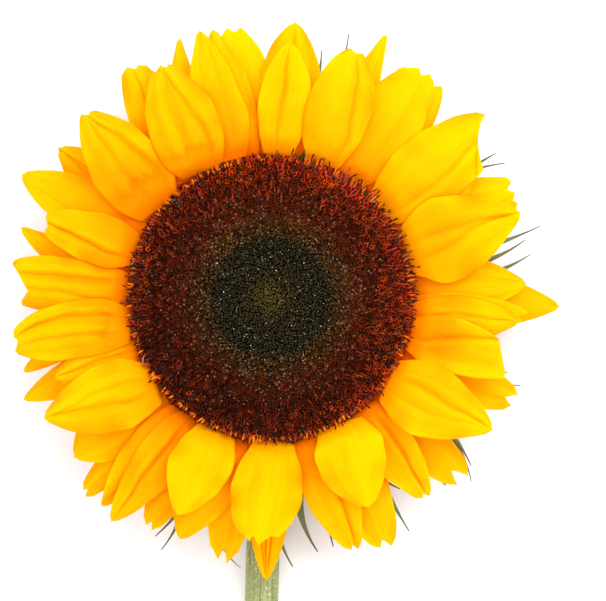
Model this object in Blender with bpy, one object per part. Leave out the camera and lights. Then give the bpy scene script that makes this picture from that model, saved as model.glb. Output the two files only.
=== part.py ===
"""A cut sunflower lying on its back: the face looks up (+Z), and the bent stem lies along -Y.

Lengths here are in millimetres and become metres when a mesh is made. Heights are above the
surface that the flower lies on. Each petal and bract is a thin sheet laid out in plan, around the
middle of the head, and then draped over the ones behind it.
"""

import math
from collections import namedtuple

import bmesh
import bpy
import numpy as np

MM = 0.001
TURN = 2 * math.pi

# ---------------------------------------------------------------- driving dimensions

# Stem
STEM_RADIUS = 4.85
STEM_LENGTH = 318.0
STEM_SIDES = 16
STEM_STRAIGHT_RINGS = 14
STEM_BEND_RINGS = 9
STEM_CUT_SLANT = 7.0
STEM_LOWER_END_SHIFT = 5.0
STEM_SIDEWAYS_BEND = 4.6
STEM_LOWER_END_SWELL = 0.7
NECK_BEND_RADIUS = 15.0
NECK_FLARE_RADIUS = 10.5
NECK_FLARE_STEEPNESS = 1.35
NECK_GAP = 0.3

# Receptacle: a shallow bowl, as (radius, height over its underside), then a flat top
RECEPTACLE_BOTTOM = STEM_RADIUS + NECK_BEND_RADIUS + NECK_GAP
RECEPTACLE_TOP = 30.2
RECEPTACLE_RADIUS = 41.0
RECEPTACLE_BOWL = [(0, 0), (9.6, 0), (15, 0.9), (23, 3.2), (31, 5.6), (37, 7.4), (40.2, 9.0)]
RECEPTACLE_RIM_HEIGHT = 9.9
RECEPTACLE_TOP_INSET = 0.6

# Disc: a ring of open florets round a lower middle of closed ones
DISC_RADIUS = 41.3
DISC_UNDERSIDE = 38.7
DISC_UNDERSIDE_CHAMFER = 2.7
DISC_RIM_TOP = 42.2
DISC_CREST_RADIUS = 31.0
DISC_CREST_TOP = 44.6
DISC_SHOULDERS = [(24.0, -1.0), (DISC_CREST_RADIUS, 0.0), (37.5, -0.7)]
RING_INNER_STEP = 0.8
BUD_RADIUS = 19.0
BUD_TOP = 41.4
BUD_DISH = [(BUD_RADIUS, 0.5), (14.0, 0.3), (7.0, -0.3), (0.0, -0.8)]
TURNED_SIDES = 40

# Petals and bracts
PETAL_THICKNESS = 0.6
PETAL_ROOT_RADIUS = 38.2
PETAL_ROOT_HEIGHT = 31.3
PETAL_CLAW_WIDTH = 3.4
PETAL_SLOT_GAP = 1.1
BRACT_THICKNESS = 0.7
BRACT_ROOT_RADIUS = 36.0
BRACT_ROOT_HEIGHT = 25.4
BRACT_CLAW_WIDTH = 5.0
NARROWEST_HALF_WIDTH = 0.5
SHEET_CLEARANCE = 0.75
SKIN_GAP = 0.3

# Outline of a sheet: where it starts to widen inside the disc's edge, how its sides close on a
# blunt and on a thin tip, how its teeth fall away, and where along it a hook starts
WIDEN_INSIDE_DISC = 0.1
BLUNT_TIP_POWER = 0.9
THIN_TIP_POWERS = (0.5, 1.1)
TOOTH_POWER = 1.15
TEETH_REACH_BACK = 7
DEEPEST_BETWEEN_TEETH = 1.6
DEEPEST_BESIDE_ONE_TOOTH = 2.2
HOOK_START = 0.45

# Rise of a petal outside the disc: where it leaves the disc, the length of the rise and how much
# longer a higher one is, and how soon the middle line stands over the edges
LEAVES_DISC = 0.2
RISE_LENGTH = 1.8
RISE_LENGTH_PER_HEIGHT = 0.5
ARCH_QUICKNESS = 6

# Rows of a sheet: distances outside the disc, then parts of what is left. Columns: places across
NEAR_ROWS = [0.4, 1.9, 4.7]
FAR_ROWS = [0.2, 0.4, 0.6, 0.78, 0.9, 1.0]
COLUMNS = np.linspace(-1, 1, 7)

# Drape grid, and the points that a draped sheet has between two of its rows or columns
CELL = 0.5
GRID_HALF = 100.0
FINE = 8
COVER = np.full((int(2 * GRID_HALF / CELL),) * 2, -1.0)

# Surfaces: linear colours and roughness
PETAL_YELLOW = (0.94, 0.58, 0.0)
PETAL_ROUGHNESS = 0.45
BRACT_GREEN = (0.13, 0.17, 0.06)
STEM_GREEN = (0.25, 0.30, 0.10)
GREEN_ROUGHNESS = 0.6
DISC_MAROON = (0.10, 0.018, 0.008)
DISC_ROUGHNESS = 0.8
BUD_BLACK_GREEN = (0.016, 0.015, 0.008)
BUD_ROUGHNESS = 0.7
SHARP_EDGE = math.radians(50)

# The object has more petals than it may have pieces, so these are only in the fine model
LEFT_TO_THE_FINE_MODEL = {"petal_03", "petal_21", "petal_36", "petal_38", "petal_45", "petal_49"}

# ---------------------------------------------------------------- the petals and bracts

# root, tip: directions of the two ends, degrees anticlockwise from +X
# reach: distance of the tip from the middle of the head
# width: widest part of the sheet
# row: petals with a higher number lie in front
# bow, hook: sideways bends of the whole middle line and of its outer half
# full: where along the sheet it starts to narrow
# base: length over which it widens outside the disc, so a short one makes a round near end
# blunt: higher is a rounder tip
# bulge: how far it rises just outside the disc
# lift, drop: slopes at the root and at the tip, in degrees
# arch: height of the middle line over the edges
# end: width of the tip, as a part of the full width
# teeth: places across the tip, and how far short of it each tooth stops
# notch: depth of the gaps between the teeth
Sheet = namedtuple(
    "Sheet", "name root tip reach width row bow full base blunt bulge lift drop arch end teeth "
    "notch hook"
)
ONE_POINT = ((0.0, 0.0),)


def petal(name, root, tip, reach, width, row, bow=0.0, full=0.46, base=14.0, blunt=1.8,
          drop=None, arch=1.2, end=0.06, teeth=ONE_POINT, notch=1.0):
    """A petal. The front rows rise more at the disc, and droop less at the tip."""
    bulge = 3.0 + 1.7 * row
    lift = 3 * row
    drop = -45 + 6.5 * row if drop is None else drop
    return Sheet("petal_" + name, root, tip, reach, width, row, bow, full, base, blunt, bulge,
                 lift, drop, arch, end, teeth, notch, 0.0)


def bract(name, root, tip, reach, width, bow=0.0, drop=-30.0, hook=0.0):
    """A bract: a leafy base with a long thin point."""
    return Sheet("bract_" + name, root, tip, reach, width, 0.0, bow, 0.3, 8.0, 0.0, 0.0, -8.0,
                 drop, 0.8, 0.02, ONE_POINT, 0.0, hook)


PETALS = [
    petal("01", 2, -1.7, 84.3, 17.0, 0.0, full=0.5, blunt=1.5, drop=-58),
    petal("02", 5, 3.2, 74.5, 16.5, 1.0),
    petal("03", -3, -4, 74.8, 10.0, 1.2, end=0.4, teeth=((0.5, 0.0), (-0.5, 1.5)), notch=2.0),
    petal("04", -8, -5.5, 72.2, 14.0, 2.0),
    petal("05", -14, -15.3, 71.6, 16.0, 2.2, base=12.0, end=0.6, teeth=((-0.7, 0.0),), notch=2.6),
    petal("06", -24, -22.7, 77.6, 15.5, 0.0, drop=-62, end=0.35, teeth=((0.6, 0.0), (-0.6, 0.8)),
          notch=3.0),
    petal("07", -36.3, -30.8, 74.8, 21.5, 3.0, full=0.42, base=12.0, blunt=1.65, arch=2.6),
    petal("08", -44, -43.5, 77.5, 15.0, 0.0, end=0.42, teeth=((0.6, 0.0), (-0.6, 0.6)), notch=4.5),
    petal("09", -50, -52, 73.8, 15.0, 1.0, end=0.2, teeth=((0.5, 0.0), (-0.5, 0.6)), notch=1.4),
    petal("10", -60.5, -65, 66.9, 20.8, 3.0, full=0.4, base=10.0, blunt=2.1, arch=2.8, end=0.1),
    petal("11", -63, -65.2, 80.5, 17.0, 0.0, end=0.3, teeth=((0.55, 0.0), (-0.55, 0.8)), notch=2.5),
    petal("12", -76, -71.5, 77.5, 15.5, 1.0, end=0.2, teeth=((0.5, 0.0), (-0.5, 0.6)), notch=1.6),
    petal("13", 272.5, 266.8, 72.0, 20.6, 3.0, base=15.5, blunt=2.5, arch=3.0, end=0.25,
          teeth=((0.1, 0.0), (-0.6, 1.0)), notch=2.2),
    petal("14", 270, 269, 82.5, 12.0, 0.0, full=0.5),
    petal("15", 258, 259.6, 78.6, 15.0, 0.5, end=0.3, teeth=((0.5, 0.0), (-0.5, 0.9)), notch=4.0),
    petal("16", 255, 249.3, 75.0, 18.4, 1.5),
    petal("17", 248, 246.6, 68.6, 18.2, 3.0, full=0.44, base=11.0, blunt=2.0, arch=2.8),
    petal("18", 243, 242, 76.2, 13.0, 0.0, end=0.3, teeth=((0.5, 0.0), (-0.5, 0.6)), notch=2.0),
    petal("19", 237, 234.4, 80.0, 14.0, 1.0),
    petal("20", 232, 230.9, 78.2, 13.0, 0.6),
    petal("21", 228, 226.3, 79.4, 11.5, 0.0, end=0.3, teeth=((0.5, 0.0), (-0.5, 1.0)), notch=1.6),
    petal("22", 220, 219, 73.8, 18.6, 0.4, blunt=2.6),
    petal("23", 218.5, 207.9, 74.5, 20.5, 3.0, full=0.44, base=13.0, arch=2.5),
    petal("24", 200, 202.3, 78.2, 12.0, 0.3, drop=-62),
    petal("25", 203.2, 200.2, 67.0, 13.5, 2.2, blunt=2.0),
    petal("26", 178, 196.6, 75.5, 10.0, 0.5, drop=-61),
    petal("27", 192.5, 190.3, 76.2, 17.0, 2.4, bow=-2.0, base=12.5, blunt=2.6, arch=2.0, end=0.3,
          teeth=((0.7, 0.0), (-0.6, 1.0)), notch=1.2),
    petal("28", 177, 176, 76.4, 16.0, 2.0, full=0.5, base=12.5, blunt=3.2, arch=2.0, end=0.68,
          teeth=((-0.85, 0.0), (0.85, 3.6)), notch=3.4),
    petal("29", 172, 164.2, 76.0, 10.0, 0.0, bow=2.5, drop=-63),
    petal("30", 160.3, 161.5, 69.5, 15.5, 2.6, full=0.42, base=12.0, arch=2.4, end=0.35,
          teeth=((0.6, 1.0), (-0.6, 0.0))),
    petal("31", 154, 153.7, 81.2, 17.0, 1.0, blunt=2.0),
    petal("32", 147, 144.8, 76.1, 17.0, 0.5, drop=-58, notch=1.4),
    petal("33", 142, 135.2, 76.6, 21.6, 3.0, full=0.44, base=11.0, blunt=1.75, arch=2.8, end=0.12,
          teeth=((0.6, 0.0), (-0.6, 1.0))),
    petal("34", 128, 120.9, 79.2, 17.0, 1.0, end=0.34, teeth=((0.45, 0.0), (-0.5, 0.8)), notch=1.2),
    petal("35", 119.6, 115.3, 74.8, 21.3, 3.0, full=0.42, base=12.0, arch=2.8, end=0.22,
          teeth=((0.9, 0.7), (0.1, 0.0), (-0.7, 0.5)), notch=1.1),
    petal("36", 120, 109.4, 80.6, 10.5, 0.0, bow=1.5, full=0.5, blunt=1.2),
    petal("37", 106.5, 105, 80.6, 16.0, 1.6, full=0.42, blunt=1.6),
    petal("38", 100, 102.3, 80.1, 14.0, 1.5, full=0.42),
    petal("39", 97.5, 98, 79.7, 19.5, 1.0, blunt=2.1, end=0.2, teeth=((0.8, 0.0), (-0.8, 0.4)),
          notch=1.2),
    petal("40", 87.5, 85.5, 74.5, 15.0, 3.0, base=16.0, blunt=2.4),
    petal("41", 85, 85, 80.8, 17.5, 1.0, blunt=2.6),
    petal("42", 68.5, 71.1, 76.0, 18.8, 3.0, base=18.0, blunt=3.0, arch=2.5, end=0.2,
          teeth=((0.8, 0.0), (-0.8, 0.3)), notch=0.6),
    petal("43", 64, 66.4, 84.0, 14.5, 1.0, bow=0.6, full=0.4, blunt=0.9),
    petal("44", 57, 56.4, 80.0, 19.0, 1.5, blunt=2.4, end=0.4, teeth=((0.3, 0.3), (-0.6, 0.0)),
          notch=1.6),
    petal("45", 52, 51.2, 79.4, 14.0, 0.5, blunt=2.2),
    petal("46", 38.5, 38.4, 82.0, 21.0, 2.5, blunt=2.4, arch=2.5, end=0.4, teeth=((0.75, 0.0),),
          notch=7.0),
    petal("47", 33, 32.7, 71.3, 16.0, 2.0, blunt=2.4),
    petal("48", 27, 24.7, 77.8, 16.0, 1.0, end=0.34, teeth=((0.6, 0.0), (-0.6, 0.4)), notch=1.8),
    petal("49", 22, 21, 77.2, 13.5, 0.5),
    petal("50", 18.7, 18.9, 76.6, 25.0, 3.0, full=0.42, base=13.0, blunt=1.55, arch=2.5),
]

BRACTS = [
    bract("01", 80, 78.5, 74.0, 7.5, bow=1.0, hook=1.6),
    bract("02", 62, 61, 77.0, 7.0, hook=0.6),
    bract("03", 31, 32.8, 78.5, 9.0, bow=-1.0, hook=-1.2),
    bract("04", 12, 15, 81.5, 7.5, bow=-0.6, hook=0.6),
    bract("05", -16, -19.3, 77.5, 8.0, bow=-1.0, drop=-56, hook=1.6),
    bract("06", -38, -42.5, 79.5, 8.0, bow=2.5, hook=-2.2),
    bract("07", -58, -59.4, 79.5, 7.5, bow=1.0, hook=0.8),
    bract("08", -81, -79.6, 75.5, 9.5, bow=-1.5, hook=1.4),
    bract("09", -98, -96.5, 79.5, 7.5, bow=-1.0, hook=1.8),
    bract("10", -117, -113.6, 80.5, 8.0, bow=-1.0, hook=-2.6),
    bract("11", 212, 211, 66.0, 8.5),
    bract("12", 130, 131, 66.0, 8.5),
]

# ---------------------------------------------------------------- outline of a sheet


def unit(degrees):
    """The plan direction at an angle."""
    angle = math.radians(degrees)
    return np.array([math.cos(angle), math.sin(angle)])


def smoothstep(value):
    """0 to 1 with level ends."""
    value = np.clip(value, 0, 1)
    return value * value * (3 - 2 * value)


def middle_line(sheet, along, root_radius):
    """Plan points on the middle line, and the sideways direction at each."""
    root = unit(sheet.root) * root_radius
    tip = unit(sheet.tip) * sheet.reach
    run = tip - root
    side = np.array([-run[1], run[0]]) / np.linalg.norm(run)
    bend = (root + tip) / 2 + side * sheet.bow * 2
    s = along[..., None]
    points = (1 - s) ** 2 * root + 2 * s * (1 - s) * bend + s ** 2 * tip
    tangent = 2 * (1 - s) * (bend - root) + 2 * s * (tip - bend)
    tangent /= np.linalg.norm(tangent, axis=-1, keepdims=True)
    return points, np.stack([-tangent[..., 1], tangent[..., 0]], axis=-1)


def half_width(sheet, along, distance, claw):
    """Half the width: a narrow claw under the disc, a round near end, then a taper."""
    widen = np.clip((distance - DISC_RADIUS + WIDEN_INSIDE_DISC) / sheet.base, 0, 1)
    start = claw / sheet.width
    widen = start + (1 - start) * np.sqrt(1 - (1 - widen) ** 2)
    falling = np.clip((along - sheet.full) / (1 - sheet.full), 0, 1)
    if sheet.blunt:
        taper = (1 - falling ** sheet.blunt) ** BLUNT_TIP_POWER
    else:
        early, late = THIN_TIP_POWERS
        taper = (1 - falling ** early) ** late
    half = sheet.width / 2 * widen * (sheet.end + (1 - sheet.end) * taper)
    return np.maximum(half, NARROWEST_HALF_WIDTH)


def end_profile(sheet, across):
    """How far short of the tip the sheet stops, at each place across."""
    places = sorted(place for place, _ in sheet.teeth)
    gap = min([b - a for a, b in zip(places, places[1:])], default=2.0) / 2
    each = [short + sheet.notch * (np.abs(across - place) / gap) ** TOOTH_POWER
            for place, short in sheet.teeth]
    deepest = DEEPEST_BETWEEN_TEETH if len(places) > 1 else DEEPEST_BESIDE_ONE_TOOTH
    return np.minimum(np.min(each, axis=0), sheet.notch * deepest)


def own_height(sheet, along, across, half, root_radius, root_height):
    """Heights before draping: level under the disc, a quick rise, then a droop to the tip."""
    run = sheet.reach - root_radius
    held = (DISC_RADIUS + LEAVES_DISC - root_radius) / run
    free = np.clip((along - held) / (1 - held), 0, 1)
    rise_length = RISE_LENGTH + RISE_LENGTH_PER_HEIGHT * sheet.bulge
    step = np.clip(free * run / rise_length, 0, 1)
    rise = math.tan(math.radians(sheet.lift))
    fall = math.tan(math.radians(sheet.drop))
    height = root_height + sheet.bulge * np.sqrt(1 - (1 - step) ** 2)
    height = height + run * (rise * free + (fall - rise) * free ** 2 / 2)
    arch = sheet.arch * half / half.max() * smoothstep(free * ARCH_QUICKNESS)
    return height + arch * (1 - across ** 2)


# ---------------------------------------------------------------- draping


def upsample(grid):
    """The grid at the finer stops: straight lines between its rows and its columns."""
    rows, columns = grid.shape
    fine_rows = np.arange(rows * FINE - FINE + 1) / FINE
    fine_columns = np.arange(columns * FINE - FINE + 1) / FINE
    tall = np.array([np.interp(fine_rows, np.arange(rows), line) for line in grid.T]).T
    return np.array([np.interp(fine_columns, np.arange(columns), line) for line in tall])


def cells(x, y):
    """Drape grid indices of plan points."""
    column = np.clip(((x + GRID_HALF) / CELL).astype(int), 1, len(COVER) - 2)
    row = np.clip(((y + GRID_HALF) / CELL).astype(int), 1, len(COVER) - 2)
    return row, column


def highest_below(x, y):
    """Highest point of the sheets laid so far, within a cell of each plan point."""
    row, column = cells(x, y)
    found = COVER[row, column]
    for down in (-1, 0, 1):
        for right in (-1, 0, 1):
            found = np.maximum(found, COVER[row + down, column + right])
    return found


def highest_nearby(values):
    """The highest of the fine values in the intervals on both sides of each row."""
    rows = range(0, len(values), FINE)
    return np.array([values[max(0, i - FINE):i + FINE + 1].max() for i in rows])


def drape(sheet, root_radius, root_height, claw, thickness):
    """Rows and columns of points on the middle of a sheet, laid over what is behind it."""
    run = sheet.reach - root_radius
    near = [DISC_RADIUS + outside for outside in NEAR_ROWS]
    far = [near[-1] + (sheet.reach - near[-1]) * part for part in FAR_ROWS]
    rows = (np.array([root_radius] + near + far) - root_radius) / run
    v, t = np.meshgrid(rows, COLUMNS, indexing="ij")
    s = v - end_profile(sheet, t) / run * v ** TEETH_REACH_BACK
    half = half_width(sheet, s, root_radius + s * run, claw)
    points, side = middle_line(sheet, s, root_radius)
    late = np.clip((s - HOOK_START) / (1 - HOOK_START), 0, 1)
    sideways = half * t - 4 * sheet.hook * late * (1 - late)
    x = points[..., 0] + side[..., 0] * sideways
    y = points[..., 1] + side[..., 1] * sideways
    height = own_height(sheet, s, t, half, root_radius, root_height)
    height = np.maximum(height, thickness / 2)

    fine_x, fine_y = upsample(x), upsample(y)
    floor = highest_below(fine_x, fine_y) + SHEET_CLEARANCE + thickness / 2
    short = np.clip(floor - upsample(height), 0, None)
    middle = short.shape[1] // 2
    one_side = highest_nearby(short[:, :middle + 1].max(axis=1))[:, None]
    other_side = highest_nearby(short[:, middle:].max(axis=1))[:, None]
    mix = smoothstep(COLUMNS + 0.5)
    height = height + one_side * (1 - mix) + other_side * mix
    np.maximum.at(COVER, cells(fine_x, fine_y), upsample(height) + thickness / 2)
    return np.stack([x, y, height], axis=-1)


# ---------------------------------------------------------------- meshes


def material(name, colour, roughness):
    """A Principled material."""
    made = bpy.data.materials.new(name)
    made.use_nodes = True
    shader = made.node_tree.nodes["Principled BSDF"]
    shader.inputs["Base Color"].default_value = (*colour, 1.0)
    shader.inputs["Roughness"].default_value = roughness
    shader.inputs["Metallic"].default_value = 0.0
    return made


def add_object(name, points, faces, colour, roughness):
    """An object from points in millimetres, with its faces turned out and shaded smooth."""
    mesh = bpy.data.meshes.new(name)
    mesh.from_pydata([tuple(p) for p in np.asarray(points) * MM], [], faces)
    shape = bmesh.new()
    shape.from_mesh(mesh)
    bmesh.ops.recalc_face_normals(shape, faces=shape.faces)
    shape.to_mesh(mesh)
    shape.free()
    mesh.shade_smooth()
    mesh.set_sharp_from_angle(angle=SHARP_EDGE)
    mesh.materials.append(material(name, colour, roughness))
    made = bpy.data.objects.new(name, mesh)
    bpy.context.scene.collection.objects.link(made)
    return made


def add_sheet(name, grid, thickness, colour, roughness):
    """A closed sheet: the grid raised and lowered by half the thickness, with a rim."""
    rows, columns = grid.shape[:2]
    half = np.array([0, 0, thickness / 2])
    points = np.concatenate([(grid + half).reshape(-1, 3), (grid - half).reshape(-1, 3)])
    under = rows * columns
    faces = []
    for r in range(rows - 1):
        for c in range(columns - 1):
            a = r * columns + c
            quad = (a, a + 1, a + columns + 1, a + columns)
            faces.append(quad)
            faces.append(tuple(under + i for i in reversed(quad)))
    rim = list(range(columns))
    rim += [r * columns + columns - 1 for r in range(1, rows)]
    rim += [(rows - 1) * columns + c for c in range(columns - 2, -1, -1)]
    rim += [r * columns for r in range(rows - 2, 0, -1)]
    for a, b in zip(rim, rim[1:] + rim[:1]):
        faces.append((b, a, under + a, under + b))
    return add_object(name, points, faces, colour, roughness)


def add_turned(name, profile, colour, roughness, hollow=False):
    """A solid of revolution about Z. A profile that isn't hollow starts and ends on the axis."""
    rings = profile if hollow else profile[1:-1]
    angles = [TURN * i / TURNED_SIDES for i in range(TURNED_SIDES)]
    points = [(r * math.cos(a), r * math.sin(a), z) for r, z in rings for a in angles]
    faces = []
    pairs = len(rings) if hollow else len(rings) - 1
    for ring in range(pairs):
        low, high = ring * TURNED_SIDES, (ring + 1) % len(rings) * TURNED_SIDES
        for i in range(TURNED_SIDES):
            j = (i + 1) % TURNED_SIDES
            faces.append((low + i, low + j, high + j, high + i))
    if not hollow:
        for (radius, height), ring in ((profile[0], 0), (profile[-1], len(rings) - 1)):
            centre = len(points)
            points.append((radius, 0, height))
            start = ring * TURNED_SIDES
            for i in range(TURNED_SIDES):
                faces.append((centre, start + i, start + (i + 1) % TURNED_SIDES))
    return add_object(name, points, faces, colour, roughness)


# ---------------------------------------------------------------- stem, receptacle and disc


def stem_path():
    """Centres, directions and radii of the stem's rings, from its cut end to the head."""
    bend_z = STEM_RADIUS + NECK_BEND_RADIUS
    rings = []
    for s in np.arange(STEM_STRAIGHT_RINGS) / STEM_STRAIGHT_RINGS:
        y = -STEM_LENGTH + s * (STEM_LENGTH - NECK_BEND_RADIUS)
        x = STEM_LOWER_END_SHIFT * (1 - s) ** 2 - STEM_SIDEWAYS_BEND * math.sin(math.pi * s)
        radius = STEM_RADIUS + STEM_LOWER_END_SWELL * (1 - s) ** 2
        rings.append(((x, y, radius), 0.0, radius))
    for turned in np.linspace(0, 1, STEM_BEND_RINGS):
        turn = turned * math.pi / 2
        y = -NECK_BEND_RADIUS * (1 - math.sin(turn))
        z = bend_z - NECK_BEND_RADIUS * math.cos(turn)
        flare = smoothstep(1 - (1 - turned) * NECK_FLARE_STEEPNESS)
        radius = STEM_RADIUS + (NECK_FLARE_RADIUS - STEM_RADIUS) * flare
        rings.append(((0.0, y, z), turn, radius))
    return rings


def add_stem():
    """The stem and its bent neck, lying on the surface. Its lower end is cut on a slant."""
    rings = stem_path()
    points = []
    for index, (centre, turn, radius) in enumerate(rings):
        for i in range(STEM_SIDES):
            angle = TURN * i / STEM_SIDES
            across, up = radius * math.cos(angle), radius * math.sin(angle)
            slant = STEM_CUT_SLANT * up / radius / 2 if index == 0 else 0.0
            points.append((centre[0] + across,
                           centre[1] - up * math.sin(turn) + slant,
                           centre[2] + up * math.cos(turn)))
    faces = []
    for ring in range(len(rings) - 1):
        for i in range(STEM_SIDES):
            j = (i + 1) % STEM_SIDES
            a, b = ring * STEM_SIDES, (ring + 1) * STEM_SIDES
            faces.append((a + i, a + j, b + j, b + i))
    last = (len(rings) - 1) * STEM_SIDES
    faces.append(tuple(range(STEM_SIDES)))
    faces.append(tuple(last + i for i in range(STEM_SIDES)))
    return add_object("stem", points, faces, STEM_GREEN, GREEN_ROUGHNESS)


def add_receptacle():
    """The green plate that carries the disc, the petals and the bracts."""
    base = RECEPTACLE_BOTTOM
    profile = [(radius, base + height) for radius, height in RECEPTACLE_BOWL]
    profile.append((RECEPTACLE_RADIUS, base + RECEPTACLE_RIM_HEIGHT))
    profile.append((RECEPTACLE_RADIUS - RECEPTACLE_TOP_INSET, RECEPTACLE_TOP))
    profile.append((0, RECEPTACLE_TOP))
    return add_turned("receptacle", profile, STEM_GREEN, GREEN_ROUGHNESS)


def add_disc():
    """The ring of open florets, and the closed florets in its middle."""
    base = RECEPTACLE_TOP + SKIN_GAP
    inner = BUD_RADIUS + SKIN_GAP
    slot = PETAL_ROOT_RADIUS - PETAL_SLOT_GAP
    ring = [(inner, base), (inner, BUD_TOP + RING_INNER_STEP)]
    ring += [(radius, DISC_CREST_TOP + height) for radius, height in DISC_SHOULDERS]
    ring += [(DISC_RADIUS, DISC_RIM_TOP),
             (DISC_RADIUS, DISC_UNDERSIDE + DISC_UNDERSIDE_CHAMFER),
             (DISC_RADIUS - DISC_UNDERSIDE_CHAMFER, DISC_UNDERSIDE),
             (slot, DISC_UNDERSIDE), (slot, base)]
    add_turned("disc_florets", ring, DISC_MAROON, DISC_ROUGHNESS, hollow=True)
    buds = [(0, base), (BUD_RADIUS, base)]
    buds += [(radius, BUD_TOP + height) for radius, height in BUD_DISH]
    add_turned("disc_buds", buds, BUD_BLACK_GREEN, BUD_ROUGHNESS)


def add_sheets():
    """The bracts, and the petals from the back row to the front one."""
    for each in BRACTS:
        grid = drape(each, BRACT_ROOT_RADIUS, BRACT_ROOT_HEIGHT, BRACT_CLAW_WIDTH,
                     BRACT_THICKNESS)
        add_sheet(each.name, grid, BRACT_THICKNESS, BRACT_GREEN, GREEN_ROUGHNESS)
    rest = [each for each in PETALS if each.name not in LEFT_TO_THE_FINE_MODEL]
    for each in sorted(rest, key=lambda sheet: sheet.row):
        grid = drape(each, PETAL_ROOT_RADIUS, PETAL_ROOT_HEIGHT, PETAL_CLAW_WIDTH,
                     PETAL_THICKNESS)
        add_sheet(each.name, grid, PETAL_THICKNESS, PETAL_YELLOW, PETAL_ROUGHNESS)


def stand_on_origin():
    """Parents every piece to one empty, with the middle of their box above the origin."""
    pieces = [o for o in bpy.data.objects if o.type == "MESH"]
    corners = np.array([v.co for o in pieces for v in o.data.vertices])
    low, high = corners.min(axis=0), corners.max(axis=0)
    middle = (low + high) / 2
    holder = bpy.data.objects.new("sunflower", None)
    bpy.context.scene.collection.objects.link(holder)
    for piece in pieces:
        piece.parent = holder
    holder.location = (-middle[0], -middle[1], -low[2])


def build():
    """Clears the scene and makes the flower."""
    for old in list(bpy.data.objects):
        bpy.data.objects.remove(old, do_unlink=True)
    add_stem()
    add_receptacle()
    add_disc()
    add_sheets()
    stand_on_origin()


build()
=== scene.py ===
"""The looks of the cut sunflower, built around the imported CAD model."""

import math
from collections import namedtuple

import bpy
import numpy as np
from mathutils import Matrix, Vector


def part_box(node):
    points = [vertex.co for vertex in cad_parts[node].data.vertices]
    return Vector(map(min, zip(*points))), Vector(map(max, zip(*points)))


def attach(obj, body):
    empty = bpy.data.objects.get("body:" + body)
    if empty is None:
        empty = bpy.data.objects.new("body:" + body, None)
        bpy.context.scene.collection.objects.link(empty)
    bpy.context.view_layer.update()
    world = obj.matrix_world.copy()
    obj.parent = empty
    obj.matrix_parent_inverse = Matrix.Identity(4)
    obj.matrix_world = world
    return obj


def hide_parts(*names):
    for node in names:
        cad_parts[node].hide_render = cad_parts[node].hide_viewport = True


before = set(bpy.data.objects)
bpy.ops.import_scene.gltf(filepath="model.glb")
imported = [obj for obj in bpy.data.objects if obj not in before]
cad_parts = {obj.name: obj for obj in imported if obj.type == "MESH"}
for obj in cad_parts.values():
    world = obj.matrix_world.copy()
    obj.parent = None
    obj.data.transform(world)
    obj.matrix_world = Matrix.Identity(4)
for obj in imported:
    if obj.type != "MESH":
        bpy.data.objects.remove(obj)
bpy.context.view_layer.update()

MM = 0.001
TURN = 2 * math.pi


def middle_of(node):
    low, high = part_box(node)
    return [(a + b) / 2 for a, b in zip(low, high)]


# Middle of the head in plan. Below, points are in millimetres from here, with heights over the floor.
HEAD = np.array([middle_of("disc_buds")[0], middle_of("disc_buds")[1], 0.0])

# ---------------------------------------------------------------- sizes, in millimetres

STEM_RADIUS = 4.85
STEM_LENGTH = 318.0
STEM_CUT_SLANT = 7.0
NECK_BEND_RADIUS = 15.0
NECK_FLARE_RADIUS = 10.5

DISC_RADIUS = 41.3
BUD_RADIUS = 19.0
FLORET_DEPTH = 4.3
# Pale specks on the buds, painted glints.
GLINT_SPECKS = 360
FRINGE_LOBES = 230

PETAL_THICKNESS = 0.26
PETAL_ROOT_RADIUS = 38.2
PETAL_ROOT_HEIGHT = 31.3
PETAL_CLAW_WIDTH = 3.4
BRACT_THICKNESS = 0.4
BRACT_ROOT_RADIUS = 36.0
BRACT_ROOT_HEIGHT = 25.4
SHEET_CLEARANCE = 0.35
HIGHEST_SHEET = 46.6

# ---------------------------------------------------------------- the petals and bracts

Sheet = namedtuple(
    "Sheet", "name root tip reach width row bow full base blunt bulge lift drop arch "
    "end teeth notch gold folds rolls hollow dent curl hook"
)
ONE_POINT = ((0.0, 0.0),)


def petal(name, root, tip, reach, width, row, bow=0.0, full=0.46, base=14.0, blunt=1.8,
          bulge=None, lift=None, drop=None, arch=1.2, end=0.06, teeth=ONE_POINT, notch=1.0,
          gold=0.3, folds=(), rolls=(0.0, 0.0), hollow=0.0, dent=None, curl=0.0):
    """A ray floret. Teeth are places across the end and how far short of the tip they stop,
    folds are places across at the root and at the tip and depths, rolls lift the two edges, and
    a dent crosses the sheet at a distance from the middle of the head."""
    bulge = 3.5 + 2.1 * row if bulge is None else bulge
    lift = 3 * row if lift is None else lift
    drop = -45 + 6.5 * row if drop is None else drop
    return Sheet("petal_" + name, root, tip, reach, width, row, bow, full, base, blunt, bulge,
                 lift, drop, arch, end, teeth, notch, gold, folds, rolls, hollow, dent, curl, 0.0)


def bract(name, root, tip, reach, width, bow=0.0, lift=-8.0, drop=-30.0, hook=0.0):
    return Sheet("bract_" + name, root, tip, reach, width, 0.0, bow, 0.3, 8.0, 0.0, 0.0,
                 lift, drop, 0.8, 0.02, ONE_POINT, 0.0, 0.0, (), (0.0, 0.0), 0.0, None, 0.0, hook)


def pair(spread_out, short, notch_side=0.0):
    """Two teeth, of which the second stops short of the first."""
    return ((notch_side + spread_out, 0.0), (notch_side - spread_out, short))


# Each petal's golden mix is painted shade: heavier on back-row petals and away from the key light at the
# upper right, lighter on front-row petals.
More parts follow.
